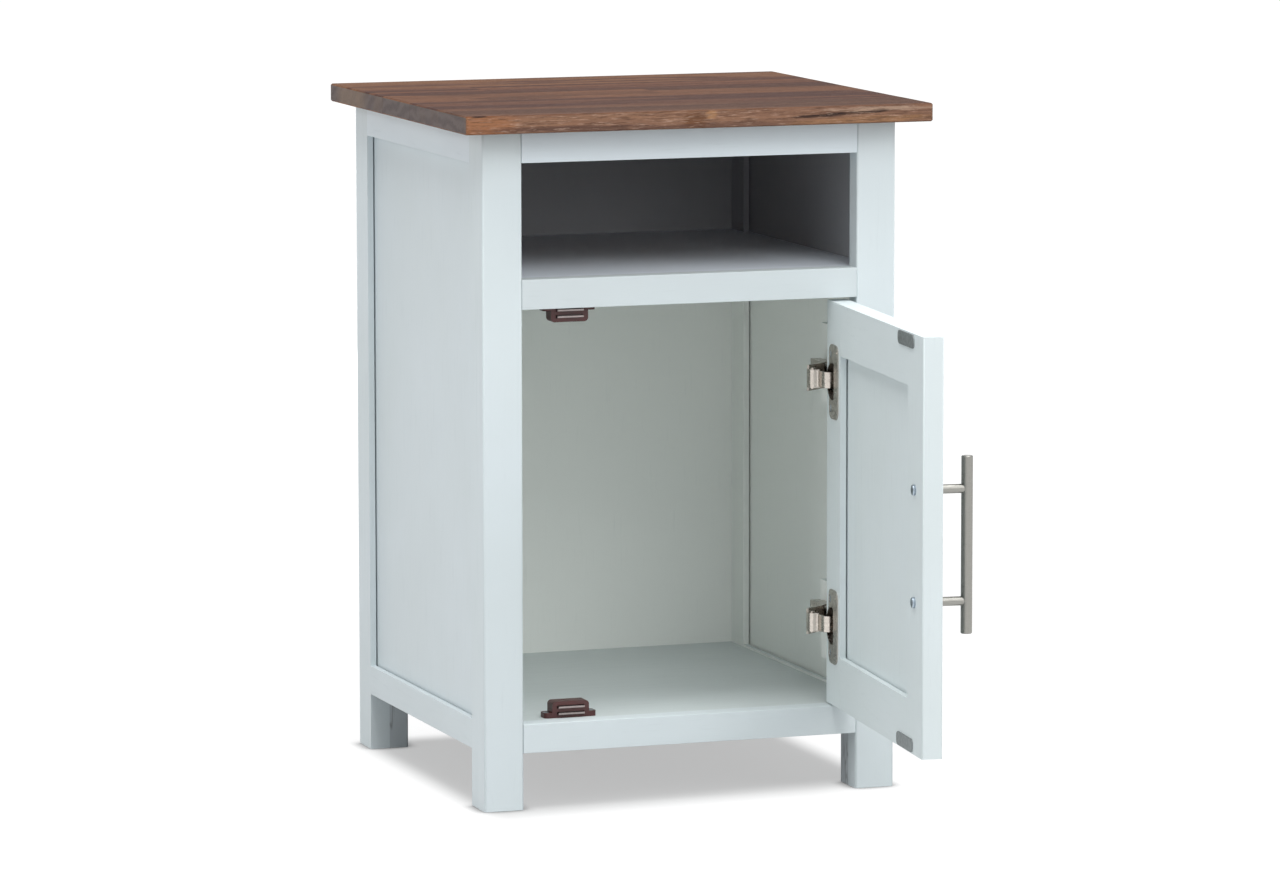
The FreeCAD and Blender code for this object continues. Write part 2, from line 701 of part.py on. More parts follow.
door_nodes = (
    "door_hinge_stile", "door_handle_stile", "door_top_rail", "door_bottom_rail", "door_panel",
    "upper_hinge_cup", "lower_hinge_cup", "hinge_pins", "flange_screws",
    "handle_bar", "handle_posts", "handle_screws", "strike_plates",
)
for node in door_nodes:
    made[node] = made[node].copy()
    made[node].rotate(pivot, V(0, 0, 1), open_angle)

os.makedirs("parts", exist_ok=True)
for node, shape in made.items():
    shape.exportStep("parts/%s.step" % node)
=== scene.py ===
import math
import bpy
from mathutils import Matrix, Vector


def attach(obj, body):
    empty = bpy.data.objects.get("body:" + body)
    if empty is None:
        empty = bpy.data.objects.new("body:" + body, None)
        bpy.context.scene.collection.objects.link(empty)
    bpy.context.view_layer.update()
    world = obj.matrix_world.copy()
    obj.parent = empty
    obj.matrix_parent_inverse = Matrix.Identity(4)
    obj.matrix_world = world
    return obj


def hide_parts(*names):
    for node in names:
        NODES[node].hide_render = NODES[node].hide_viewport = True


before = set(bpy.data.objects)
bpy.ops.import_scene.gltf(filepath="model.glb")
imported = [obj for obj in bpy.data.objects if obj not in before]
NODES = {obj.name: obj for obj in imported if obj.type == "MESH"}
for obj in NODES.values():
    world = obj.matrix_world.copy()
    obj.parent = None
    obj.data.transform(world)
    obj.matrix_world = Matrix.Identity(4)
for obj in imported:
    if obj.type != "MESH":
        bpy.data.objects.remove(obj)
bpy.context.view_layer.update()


# ---- building material trees -----------------------------------------------
class Finish:
    """One surface finish, written as a chain of shader nodes."""

    def __init__(self, name):
        self.material = bpy.data.materials.new(name)
        self.material.use_nodes = True
        self.tree = self.material.node_tree
        self.tree.nodes.clear()
        self.surface = self.node("ShaderNodeBsdfPrincipled")
        output = self.node("ShaderNodeOutputMaterial")
        self.tree.links.new(self.surface.outputs[0], output.inputs["Surface"])
        self.place = self.node("ShaderNodeTexCoord").outputs["Object"]

    def node(self, kind, settings=None, **inputs):
        made = self.tree.nodes.new(kind)
        for key, value in (settings or {}).items():
            setattr(made, key, value)
        for key, value in inputs.items():
            self.put(made, key, value)
        return made

    def put(self, node, key, value):
        """Sets or links one input. A key such as i6 is its number, any other key its name."""
        by_number = key[0] == "i" and key[1:].isdigit()
        socket = node.inputs[int(key[1:]) if by_number else key.replace("_", " ")]
        if isinstance(value, bpy.types.NodeSocket):
            self.tree.links.new(value, socket)
        else:
            socket.default_value = value

    def stretched(self, scale, shift=(0, 0, 0)):
        """Object coordinates in metres, scaled per axis and then shifted."""
        return self.node("ShaderNodeMapping", Vector=self.place, Scale=scale, Location=shift).outputs[0]

    def noise(self, where, scale, detail=2.0, roughness=0.5, distortion=0.0):
        return self.node("ShaderNodeTexNoise", Vector=where, Scale=scale, Detail=detail, Roughness=roughness,
                         Distortion=distortion).outputs["Fac"]

    def maths(self, operation, first, second=0.0):
        return self.node("ShaderNodeMath", {"operation": operation}, i0=first, i1=second).outputs[0]

    def span(self, value, low, high, out_low=0.0, out_high=1.0, smooth=False):
        kind = "SMOOTHSTEP" if smooth else "LINEAR"
        return self.node("ShaderNodeMapRange", {"interpolation_type": kind}, Value=value, From_Min=low,
                         From_Max=high, To_Min=out_low, To_Max=out_high).outputs[0]

    def blend(self, share, first, second, how="MIX"):
        mix = self.node("ShaderNodeMix", {"data_type": "RGBA", "blend_type": how})
        self.put(mix, "i0", share)
        self.put(mix, "i6", first)
        self.put(mix, "i7", second)
        return mix.outputs[2]

    def axes(self):
        """The place on the part, as three values in metres."""
        return self.node("ShaderNodeSeparateXYZ", Vector=self.place).outputs

    def facing(self):
        """The face's own direction in the part's frame, as three values."""
        normal = self.node("ShaderNodeTexCoord").outputs["Normal"]
        return self.node("ShaderNodeSeparateXYZ", Vector=normal).outputs

    def bumps(self, *layers):
        """Each layer is (height, depth in metres)."""
        normal = None
        for height, depth in layers:
            bump = self.node("ShaderNodeBump", Height=height, Strength=1.0, Distance=depth)
            if normal is not None:
                self.put(bump, "Normal", normal)
            normal = bump.outputs[0]
        self.put(self.surface, "Normal", normal)


def grey(value):
    return (value, value, value, 1.0)


def srgb(red, green, blue):
    """A display colour, 0 to 255, as the shader's linear colour."""
    def linear(v):
        v /= 255
        return v / 12.92 if v <= 0.04045 else ((v + 0.055) / 1.055) ** 2.4
    return (linear(red), linear(green), linear(blue), 1.0)


def mid_tone(first, second, share):
    """The colour that lies the given share of the way from the first to the second."""
    return tuple(a + (b - a) * share for a, b in zip(first, second))


def ends(node, axis):
    """The lowest and highest level of one board along x, y or z, in metres."""
    levels = [vertex.co["xyz".index(axis)] for vertex in NODES[node].data.vertices]
    return min(levels), max(levels)


def middle(node, axis):
    return sum(ends(node, axis)) / 2


# ---- finishes --------------------------------------------------------------
PAINT = srgb(216, 225, 228)
PAINT_WARM = srgb(213, 222, 224)
# the door's coat is a lighter copy of the paint: painted light on the door's boards
DOOR_COAT_PAINTED_LIGHT = (srgb(221, 230, 232), srgb(218, 227, 228))
# the top rails' coat is lighter still: painted light against the shade under the top's overhang
RAIL_COAT_PAINTED_LIGHT = (srgb(223, 233, 238), srgb(221, 230, 235))
# the middle rail's coat is darker: painted shade
MIDDLE_COAT_PAINTED_SHADE = (srgb(207, 216, 218), srgb(205, 213, 215))
BLOCK_COAT = (srgb(200, 207, 210), srgb(186, 192, 195))
# Inside colours: the cupboard's walls lighter as painted light and its floor darker as painted shade; the
# open compartment's walls grey as painted shade and its floor lighter as painted light.
CUPBOARD_PAINTED_LIGHT = srgb(250, 253, 249)
CUPBOARD_FLOOR_PAINTED_SHADE = srgb(207, 215, 215)
COMPARTMENT_PAINTED_SHADE = srgb(180, 182, 185)
COMPARTMENT_FLOOR_PAINTED_LIGHT = srgb(226, 234, 242)
HAIR = 0.0003
BEHIND_FRONT_BOARDS = ends("front_leg_left", "y")[1] + HAIR
IN_SIDE_PANEL = middle("side_panel_right", "x")
IN_BACK_PANEL = middle("back_panel", "y")
IN_BOTTOM_SHELF = middle("bottom_shelf", "z")
IN_MIDDLE_SHELF = middle("middle_shelf", "z")
TOP_FRONT = ends("top_stave_1", "y")[0]
FRONT_EDGE_FADE = (TOP_FRONT + 0.0015, TOP_FRONT + 0.006)
# A paler stretch of the top's end grain comes in and goes out again between these, front to rear.
PALE_END_BEGINS = (0.21, 0.25)
PALE_END_STOPS = (0.29, 0.32)


def paint_inner_light_and_shade(finish, outer):
    """Paints light and shade inside: the cupboard lighter as painted light, the open compartment above it
    greyer as painted shade.

    Shelf tops get their own painted tone, darker in the cupboard and lighter in the compartment. The painted
    light and shade end inside the thickness of a panel or shelf, or just behind the front boards.
    """
    across, back, up = finish.axes()
    depth = finish.maths("MULTIPLY", finish.maths("GREATER_THAN", back, BEHIND_FRONT_BOARDS),
                         finish.maths("LESS_THAN", back, IN_BACK_PANEL))
    depth = finish.maths("MULTIPLY", depth, finish.maths("GREATER_THAN", up, IN_BOTTOM_SHELF))
    between = finish.maths("LESS_THAN", finish.maths("ABSOLUTE", across), IN_SIDE_PANEL)
    inside = finish.maths("MULTIPLY", between, depth)
    above = finish.maths("GREATER_THAN", up, IN_MIDDLE_SHELF)
    # painted light on the cupboard's walls and shade on its floor; painted shade on the compartment's walls
    # and light on its floor
    level = finish.span(finish.facing()[2], 0.7, 0.9)
    cupboard = finish.blend(level, CUPBOARD_PAINTED_LIGHT, CUPBOARD_FLOOR_PAINTED_SHADE)
    compartment = finish.blend(level, COMPARTMENT_PAINTED_SHADE, COMPARTMENT_FLOOR_PAINTED_LIGHT)
    return finish.blend(inside, outer, finish.blend(above, cupboard, compartment))


def painted_timber(name, grain, coat=(PAINT, PAINT_WARM), inner_light_and_shade=True, cracks=0.0):
    """Satin paint over timber: a faint grain along one axis, under a fine spray texture."""
    finish = Finish(name)
    along = {"x": (0.09, 1, 1), "y": (1, 0.09, 1), "z": (1, 1, 0.09)}[grain]
    cloud = finish.noise(finish.stretched((1, 1, 1)), 7.0, 3.0)
    colour = finish.blend(finish.span(cloud, 0.35, 0.65), *coat)
    # painted light in the cupboard, painted shade in the open compartment
    if inner_light_and_shade:
        colour = paint_inner_light_and_shade(finish, colour)
    strokes = finish.noise(finish.stretched(along), 260.0, 3.0, 0.6)
    colour = finish.blend(finish.span(strokes, 0.6, 0.8, 0.0, 0.09), colour, srgb(150, 158, 162))
    if cracks:
        grain_way = tuple(0.5 * share for share in along)
        split = finish.noise(finish.stretched(grain_way, (0.3, 0.1, 0.7)), 150.0, 2.0, 0.5, 0.4)
        line = finish.maths("ABSOLUTE", finish.maths("SUBTRACT", split, 0.5))
        colour = finish.blend(finish.span(line, 0.0, 0.012, cracks, 0.0, True), colour, srgb(96, 96, 96))
    finish.put(finish.surface, "Base_Color", colour)
    finish.put(finish.surface, "Roughness", finish.span(strokes, 0.3, 0.7, 0.4, 0.5))
    spray = finish.noise(finish.stretched((1, 1, 1)), 1500.0, 2.0)
    finish.bumps((strokes, 0.00006), (spray, 0.00002))
    finish.surface.inputs["Specular IOR Level"].default_value = 0.22
    return finish.material


def patch(finish, tone, centre, half, colour, share, ragged=0.5, slope=0.0):
    """A local mark in the front edge: an ellipse in x and z with ragged ends, tilted by slope."""
    across, back, up = finish.axes()
    run = finish.maths("SUBTRACT", across, centre[0])
    tilt = finish.maths("MULTIPLY", run, slope)
    rise = finish.maths("SUBTRACT", finish.maths("SUBTRACT", up, centre[1]), tilt)
    wide, tall = (finish.maths("POWER", finish.maths("ABSOLUTE", finish.maths("DIVIDE", way, extent)), 2.0)
                  for way, extent in ((run, half[0]), (rise, half[1])))
    reach = finish.maths("ADD", wide, tall)
    fray = finish.noise(finish.stretched((0.1, 1, 1), (centre[0], 0, 0)), 420.0, 3.0, 0.7)
    reach = finish.maths("ADD", reach, finish.span(fray, 0.25, 0.75, -ragged, ragged))
    shown = finish.maths("MULTIPLY", finish.span(reach, 0.2, 1.3, share, 0.0, True),
                         finish.span(back, *FRONT_EDGE_FADE, 1.0, 0.0, True))
    return finish.blend(shown, tone, colour)


def brown_timber(name, seed, light, dark, joint, marks=()):
    """Oiled brown timber, grain along x, with end grain on the ends. A new length begins at joint."""
    finish = Finish(name)
    shift = (seed * 0.37, seed * 1.93, seed * 0.71)
    facing = finish.facing()
    wander = finish.noise(finish.stretched((2.0, 3.0, 3.0), shift), 1.3, 2.0)
    width = finish.span(wander, 0, 1, 2.7, 3.0)
    bands = finish.noise(finish.stretched((0.4, 9, 9), shift), width, 3.0, 0.5, 0.2)
    beyond = finish.noise(finish.stretched((0.4, 9, 9), (seed * 2.3, 4.1, seed)), 2.8, 3.0, 0.5, 0.2)
    bands = finish.blend(finish.maths("GREATER_THAN", finish.axes()[0], joint), bands, beyond)
    tone = finish.blend(finish.span(bands, 0.43, 0.55, 0.0, 1.0, True), dark, light)
    threads = finish.noise(finish.stretched((0.5, 40, 40), shift), 7.0, 3.0, 0.6)
    deep = mid_tone(dark, (0.03, 0.018, 0.014, 1), 0.4)
    warm = mid_tone(light, (0.5, 0.28, 0.15, 1), 0.25)
    tone = finish.blend(finish.span(threads, 0.52, 0.66, 0.0, 0.5, True), tone, deep)
    tone = finish.blend(finish.span(threads, 0.46, 0.36, 0.0, 0.5, True), tone, warm)
    for centre, half, colour, share, ragged, slope in marks:
        tone = patch(finish, tone, centre, half, colour, share, ragged, slope)
    fibre = finish.noise(finish.stretched((0.07, 1, 1), shift), 900.0, 3.0, 0.75)
    pore = mid_tone(dark, (0.01, 0.007, 0.005, 1), 0.5)
    tone = finish.blend(finish.span(fibre, 0.48, 0.64, 0.0, 0.62), tone, pore)
    pale = finish.noise(finish.stretched((0.09, 1, 1), (seed, 3, 9)), 900.0, 3.0, 0.75)
    tone = finish.blend(finish.span(pale, 0.54, 0.7, 0.0, 0.5), tone, srgb(190, 160, 140))
    # painted shade: the faces of the top that turn upward are darkened
    up_facing_shade = finish.span(facing[2], 0.35, 0.8)
    tone = finish.blend(up_facing_shade, tone, finish.blend(1.0, tone, (0.47, 0.43, 0.42, 1), "MULTIPLY"))
    # end grain
    rings = finish.node("ShaderNodeTexWave", {"wave_type": "RINGS", "rings_direction": "X"},
                        Vector=finish.stretched((1, 1, 1), (0, 0.06 * seed - 0.1, 0.05)), Scale=26.0,
                        Distortion=6.0, Detail=3.0, Detail_Scale=1.4).outputs["Fac"]
    end = finish.blend(finish.span(rings, 0.0, 1.0, 0.0, 0.8, True), srgb(98, 89, 87), srgb(112, 102, 99))
    blotch = finish.noise(finish.stretched((1, 1.3, 0.4), shift), 20.0, 2.0)
    end = finish.blend(finish.span(blotch, 0.5, 0.66, 0.0, 0.4, True), end, srgb(124, 106, 94))
    pale_end = finish.maths("MULTIPLY", finish.span(finish.axes()[1], *PALE_END_BEGINS, 0.0, 1.0, True),
                            finish.span(finish.axes()[1], *PALE_END_STOPS, 1.0, 0.0, True))
    end = finish.blend(finish.maths("MULTIPLY", pale_end, 0.6), end, srgb(140, 120, 104))
    pores = finish.noise(finish.stretched((1, 1, 0.6)), 900.0, 2.0)
    end = finish.blend(finish.span(pores, 0.55, 0.7, 0.0, 0.3), end, srgb(58, 50, 48))
    is_end = finish.span(finish.maths("ABSOLUTE", facing[0]), 0.75, 0.9)
    finish.put(finish.surface, "Base_Color", finish.blend(is_end, tone, end))
    finish.put(finish.surface, "Roughness", finish.span(fibre, 0.3, 0.7, 0.6, 0.72))
    finish.bumps((fibre, 0.00022), (threads, 0.0002))
    finish.surface.inputs["Specular IOR Level"].default_value = 0.06
    return finish.material


def plated_metal(name, colour, roughness, grain_scale=(1, 1, 1), grain=400.0, depth=0.00002, wear=0.35):
    """Metal with a fine scratched grain, darker where it is worn, and a few smudges."""
    finish = Finish(name)
    finish.surface.inputs["Metallic"].default_value = 1.0
    scratch = finish.noise(finish.stretched(grain_scale), grain, 3.0, 0.6)
    smudge = finish.noise(finish.stretched((1, 1, 1)), 60.0, 2.0)
    worn = mid_tone(colour, (0.1, 0.1, 0.1, 1), wear)
    shade = finish.blend(finish.span(scratch, 0.35, 0.7, 0.0, 0.5), colour, worn)
    finish.put(finish.surface, "Base_Color", shade)
    rough = finish.maths("ADD", finish.span(scratch, 0.3, 0.7, roughness - 0.05, roughness + 0.07),
                         finish.span(smudge, 0.4, 0.6, 0.0, 0.06))
    finish.put(finish.surface, "Roughness", rough)
    finish.bumps((scratch, depth))
    return finish.material


def moulded_plastic(name, colour, roughness=0.42):
    """Mottled plastic with a fine grainy skin."""
    finish = Finish(name)
    mottle = finish.noise(finish.stretched((1, 1, 1)), 90.0, 3.0)
    shaded = mid_tone(colour, (0, 0, 0, 1), 0.35)
    finish.put(finish.surface, "Base_Color", finish.blend(finish.span(mottle, 0.35, 0.7), colour, shaded))
    grainy = finish.noise(finish.stretched((1, 1, 1)), 2400.0, 2.0)
    finish.put(finish.surface, "Roughness", finish.span(grainy, 0.3, 0.7, roughness - 0.06, roughness + 0.08))
    finish.bumps((grainy, 0.00003))
    return finish.material


paint_x = painted_timber("satin_paint_grain_x", "x")
paint_y = painted_timber("satin_paint_grain_y", "y")
paint_z = painted_timber("satin_paint_grain_z", "z")
# the top rails' and the door's coats carry painted light, the middle rail's painted shade
rail_lit_paint_x = painted_timber("top_rail_painted_light_grain_x", "x", RAIL_COAT_PAINTED_LIGHT)
rail_lit_paint_y = painted_timber("top_rail_painted_light_grain_y", "y", RAIL_COAT_PAINTED_LIGHT)
middle_shaded_paint_x = painted_timber("middle_rail_painted_shade_grain_x", "x", MIDDLE_COAT_PAINTED_SHADE)
block_paint = painted_timber("foot_block_paint", "z", BLOCK_COAT, False, 0.5)
door_lit_paint_y = painted_timber("door_painted_light_grain_y", "y", DOOR_COAT_PAINTED_LIGHT, False)
door_lit_paint_z = painted_timber("door_painted_light_grain_z", "z", DOOR_COAT_PAINTED_LIGHT, False)
PAINTS = (paint_x, paint_y, paint_z, rail_lit_paint_x, rail_lit_paint_y, middle_shaded_paint_x, block_paint,
          door_lit_paint_y, door_lit_paint_z)
nickel = plated_metal("satin_nickel", srgb(184, 177, 169), 0.24)
zinc = plated_metal("bright_zinc", srgb(158, 170, 181), 0.3)
brushed = plated_metal("brushed_steel", srgb(135, 134, 129), 0.3, (1, 1, 14), 160.0, 0.00003)
galvanised = plated_metal("dull_zinc_plate", srgb(140, 145, 146), 0.5, (1, 1, 1), 260.0, 0.00008, 0.6)
catch_brown = moulded_plastic("red_brown_moulding", srgb(74, 30, 28))
pole_steel = plated_metal("pole_steel", srgb(150, 140, 138), 0.4)

ORANGE = srgb(166, 106, 64)
PURPLE = srgb(78, 58, 54)
BLACK_BROWN = srgb(52, 40, 36)
CREAM = srgb(176, 152, 132)
HONEY = srgb(182, 136, 92)
# Each mark: centre and half size in x and z, colour, strength, raggedness, slope.
front_marks = (
    ((-0.200, 0.6015), (0.034, 0.016), ORANGE, 0.4, 0.3, 0.0),
    ((-0.203, 0.6095), (0.008, 0.0009), BLACK_BROWN, 0.9, 0.2, 0.0),
    ((-0.105, 0.5970), (0.095, 0.0030), PURPLE, 0.7, 0.7, -0.008),
    ((-0.006, 0.6010), (0.012, 0.009), srgb(98, 64, 42), 0.7, 0.6, 0.0),
    ((0.008, 0.6060), (0.006, 0.0040), HONEY, 0.5, 0.6, 0.0),
    ((0.030, 0.5965), (0.070, 0.0025), PURPLE, 0.4, 0.6, 0.0),
    ((0.150, 0.5975), (0.075, 0.0035), srgb(152, 113, 80), 0.6, 0.5, 0.02),
    ((0.128, 0.6030), (0.055, 0.0017), BLACK_BROWN, 1.0, 0.7, 0.045),
    ((0.165, 0.6068), (0.055, 0.0022), CREAM, 0.55, 1.0, 0.0),
)
# Each stave: node, seed, light and dark tone, where a new length begins in x, local marks.
staves = (
    ("top_stave_1", 1, srgb(130, 97, 79), srgb(104, 78, 67), 1.0, front_marks),
    ("top_stave_2", 2, srgb(127, 91, 74), srgb(92, 66, 61), 1.0, ()),
    ("top_stave_3", 3, srgb(144, 104, 80), srgb(90, 65, 58), 0.03, ()),
    ("top_stave_4", 4, srgb(138, 98, 77), srgb(92, 65, 59), -0.11, ()),
    ("top_stave_5", 5, srgb(156, 116, 88), srgb(108, 76, 65), 1.0, ()),
)
for node, seed, light, dark, joint, marks in staves:
    NODES[node].data.materials.clear()
    NODES[node].data.materials.append(brown_timber("brown_stave_%d" % seed, seed, light, dark, joint, marks))

GRAIN_ACROSS = ("front_bottom_rail", "back_top_rail", "back_bottom_rail", "middle_shelf", "bottom_shelf",
                "catch_packer")


def finish_of(node):
    if "screw" in node:
        return zinc
    if node in ("handle_bar", "handle_posts"):
        return brushed
    if "hinge_arm" in node or "hinge_cup" in node or node.endswith("hinge_plate") or node == "hinge_pins":
        return nickel
    if "housing" in node:
        return catch_brown
    if "poles" in node or node == "catch_magnets":
        return pole_steel
    if node == "strike_plates":
        return galvanised
    if node == "front_top_rail":
        return rail_lit_paint_x
    if node.startswith("side_top_rail"):
        return rail_lit_paint_y
    if node.endswith("foot_blocks"):
        return block_paint
    if node == "front_middle_rail":
        return middle_shaded_paint_x
    if node in GRAIN_ACROSS:
        return paint_x
    if node in ("door_top_rail", "door_bottom_rail"):
        return door_lit_paint_y
    if node.startswith("door_"):
        return door_lit_paint_z
    if node.startswith("side_") and "rail" in node or "cleat" in node:
        return paint_y
    return paint_z


for name, node in NODES.items():
    if not name.startswith("top_stave"):
        node.data.materials.clear()
        node.data.materials.append(finish_of(name))


# ---- screws ----------------------------------------------------------------
# Corners that fall in one cell of 0.05 mm are the same corner.
POINT_GRID = 20000
AXIS_STEPS = 60
HEAD_SIDES = 36
SHANK_SIDES = 16
TURN_SEED = 7


def separate_solids(mesh):
    """The corner points of each closed solid in a mesh of loose triangles."""
    owner = {}

    def root(key):
        while owner[key] != key:
            owner[key] = owner[owner[key]]
            key = owner[key]
        return key

    keys = [tuple(round(c * POINT_GRID) for c in v.co) for v in mesh.vertices]
    for key in keys:
        owner[key] = key
    for face in mesh.polygons:
        first = root(keys[face.vertices[0]])
        for index in face.vertices[1:]:
            owner[root(keys[index])] = first
    groups = {}
    for vertex, key in zip(mesh.vertices, keys):
        groups.setdefault(root(key), {})[key] = vertex.co.copy()
    return [list(groups[key].values()) for key in sorted(groups)]


def screw_place(points):
    """The middle of a screw's face, the way the face looks, and the screw's whole length."""
    middle = sum(points, Vector()) / len(points)
    arms = [p - middle for p in points]
    # each step turns any start towards the screw's longest direction
    way = Vector((1.0, 0.3, 0.2))
    for _ in range(AXIS_STEPS):
        way = sum((arm * arm.dot(way) for arm in arms), Vector()).normalized()
    widest = max(arms, key=lambda arm: (arm - way * arm.dot(way)).length)
    if widest.dot(way) < 0:
        way = -way
    reach = [arm.dot(way) for arm in arms]
    return middle + way * max(reach), way, max(reach) - min(reach)


def cross_head_screws(group, sizes):
    """Adds the tree that turns each point into a screw, its head out along the point's own direction."""
    tree = bpy.data.node_groups.new(group, "GeometryNodeTree")
    sockets = tree.interface
    sockets.new_socket("Places", in_out="INPUT", socket_type="NodeSocketGeometry")
    for label, value in sizes.items():
        sockets.new_socket(label, in_out="INPUT", socket_type="NodeSocketFloat").default_value = value
    sockets.new_socket("Turn seed", in_out="INPUT", socket_type="NodeSocketInt").default_value = TURN_SEED
    sockets.new_socket("Finish", in_out="INPUT", socket_type="NodeSocketMaterial")
    sockets.new_socket("Screws", in_out="OUTPUT", socket_type="NodeSocketGeometry")
    given = tree.nodes.new("NodeGroupInput").outputs

    def add(kind, settings=None, **inputs):
        node = tree.nodes.new(kind)
        for key, value in (settings or {}).items():
            setattr(node, key, value)
        for key, value in inputs.items():
            socket = node.inputs[key.replace("_", " ")]
            if isinstance(value, bpy.types.NodeSocket):
                tree.links.new(value, socket)
            else:
                socket.default_value = value
        return node

    def maths(operation, first, second):
        node = add("ShaderNodeMath", {"operation": operation})
        for socket, value in zip(node.inputs, (first, second)):
            if isinstance(value, bpy.types.NodeSocket):
                tree.links.new(value, socket)
            else:
                socket.default_value = value
        return node.outputs[0]

    def point(x=0.0, y=0.0, z=0.0):
        return add("ShaderNodeCombineXYZ", X=x, Y=y, Z=z).outputs[0]

    def shifted(geometry, z):
        return add("GeometryNodeTransform", Geometry=geometry, Translation=point(z=z)).outputs[0]

    sink = maths("MULTIPLY", given["Head depth"], -1.0)
    head = add("GeometryNodeMeshCone", Vertices=HEAD_SIDES, Radius_Top=given["Head radius"],
               Radius_Bottom=given["Seat radius"], Depth=given["Head depth"]).outputs["Mesh"]
    head = shifted(head, sink)
    bevel = maths("MULTIPLY", given["Head radius"], 0.9)
    crown = add("GeometryNodeMeshCone", Vertices=HEAD_SIDES, Radius_Top=bevel,
                Radius_Bottom=given["Head radius"], Depth=given["Crown height"]).outputs["Mesh"]
    body = add("GeometryNodeMeshBoolean", {"operation": "UNION"})
    for part in (head, crown):
        tree.links.new(part, body.inputs["Mesh 2"])
    reach = maths("MULTIPLY", given["Recess reach"], 2.0)
    sunk = maths("MULTIPLY", given["Recess depth"], 2.0)
    bars = add("GeometryNodeJoinGeometry")
    for wide, narrow in ((reach, given["Recess width"]), (given["Recess width"], reach)):
        bar = add("GeometryNodeMeshCube", Size=point(wide, narrow, sunk)).outputs["Mesh"]
        tree.links.new(bar, bars.inputs[0])
    recess = shifted(bars.outputs[0], given["Crown height"])
    cut = add("GeometryNodeMeshBoolean", {"operation": "DIFFERENCE"}, Mesh_1=body.outputs[0])
    tree.links.new(recess, cut.inputs["Mesh 2"])
    shank = add("GeometryNodeMeshCylinder", Vertices=SHANK_SIDES, Radius=given["Shank radius"],
                Depth=1.0).outputs["Mesh"]
    outward = add("GeometryNodeInputNamedAttribute", {"data_type": "FLOAT_VECTOR"}, Name="outward").outputs[0]
    length = add("GeometryNodeInputNamedAttribute", {"data_type": "FLOAT"}, Name="length").outputs[0]
    stand = add("FunctionNodeAlignRotationToVector", {"axis": "Z"}, Vector=outward).outputs[0]
    turn = add("FunctionNodeRandomValue", {"data_type": "FLOAT"})
    turn.inputs[2].default_value, turn.inputs[3].default_value = 0.0, math.pi / 2
    tree.links.new(given["Turn seed"], turn.inputs["Seed"])
    spin = add("FunctionNodeAxisAngleToRotation", Axis=(0, 0, 1), Angle=turn.outputs[1]).outputs[0]
    facing = add("FunctionNodeRotateRotation", {"rotation_space": "LOCAL"}, Rotation=stand,
                 Rotate_By=spin).outputs[0]
    inward = add("ShaderNodeVectorMath", {"operation": "SCALE"}, Vector=outward, Scale=sink).outputs[0]
    seats = add("GeometryNodeSetPosition", Geometry=given["Places"], Offset=inward).outputs[0]
    stretch = point(1.0, 1.0, maths("ADD", length, sink))
    heads = add("GeometryNodeInstanceOnPoints", Points=given["Places"], Instance=cut.outputs[0],
                Rotation=facing).outputs[0]
    shanks = add("GeometryNodeInstanceOnPoints", Points=seats, Instance=shifted(shank, -0.5), Rotation=stand,
                 Scale=stretch).outputs[0]
    whole = add("GeometryNodeJoinGeometry")
    for part in (heads, shanks):
        tree.links.new(part, whole.inputs[0])
    solid = add("GeometryNodeRealizeInstances", Geometry=whole.outputs[0]).outputs[0]
    coated = add("GeometryNodeSetMaterial", Geometry=solid, Material=given["Finish"]).outputs[0]
    tree.links.new(coated, tree.nodes.new("NodeGroupOutput").inputs["Screws"])
    return tree


def fit_screws(node, body, finish, sizes):
    """Rounder cross-head screws in place of the ten-sided ones of one node."""
    places = [screw_place(points) for points in separate_solids(NODES[node].data)]
    crown = sizes["Crown height"]
    mesh = bpy.data.meshes.new(node + "_places")
    mesh.from_pydata([spot - way * crown for spot, way, _ in places], [], [])
    mesh.attributes.new("outward", "FLOAT_VECTOR", "POINT")
    mesh.attributes.new("length", "FLOAT", "POINT")
    for index, (spot, way, length) in enumerate(places):
        mesh.attributes["outward"].data[index].vector = way
        mesh.attributes["length"].data[index].value = length - crown
    maker = bpy.data.objects.new(node + "_maker", mesh)
    bpy.context.scene.collection.objects.link(maker)
    tree = cross_head_screws(node + "_tree", sizes)
    modifier = maker.modifiers.new("screws", "NODES")
    modifier.node_group = tree
    for item in tree.interface.items_tree:
        if item.name == "Finish" and item.in_out == "INPUT":
            modifier[item.identifier] = finish
    shaped = maker.evaluated_get(bpy.context.evaluated_depsgraph_get())
    plain = bpy.data.meshes.new_from_object(shaped)
    plain.validate()
    plain.materials.clear()
    plain.materials.append(finish)
    for polygon in plain.polygons:
        polygon.material_index = 0
    maker.modifiers.remove(modifier)
    bpy.data.objects.remove(maker)
    piece = bpy.data.objects.new("turned_" + node, plain)
    bpy.context.scene.collection.objects.link(piece)
    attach(piece, body)
    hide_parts(node)


def wood_screw(head, shank):
    """The sizes of a countersunk screw with these head and shank radii."""
    return {"Head radius": head, "Seat radius": shank, "Head depth": 0.0016, "Crown height": 0.00002,
            "Shank radius": shank, "Recess width": 0.0008, "Recess reach": head * 0.55,
            "Recess depth": 0.0010}


HANDLE_SCREW = {"Head radius": 0.0046, "Seat radius": 0.0046, "Head depth": 0.0016, "Crown height": 0.0008,
                "Shank radius": 0.0020, "Recess width": 0.0010, "Recess reach": 0.0024,
                "Recess depth": 0.0012}
fit_screws("hinge_plate_screws", "cabinet", zinc, wood_screw(0.0036, 0.0020))
fit_screws("catch_screws", "cabinet", zinc, wood_screw(0.0030, 0.0017))
fit_screws("top_screws", "cabinet", zinc, wood_screw(0.0036, 0.0020))
fit_screws("flange_screws", "door", zinc, wood_screw(0.0036, 0.0020))
fit_screws("handle_screws", "door", zinc, HANDLE_SCREW)

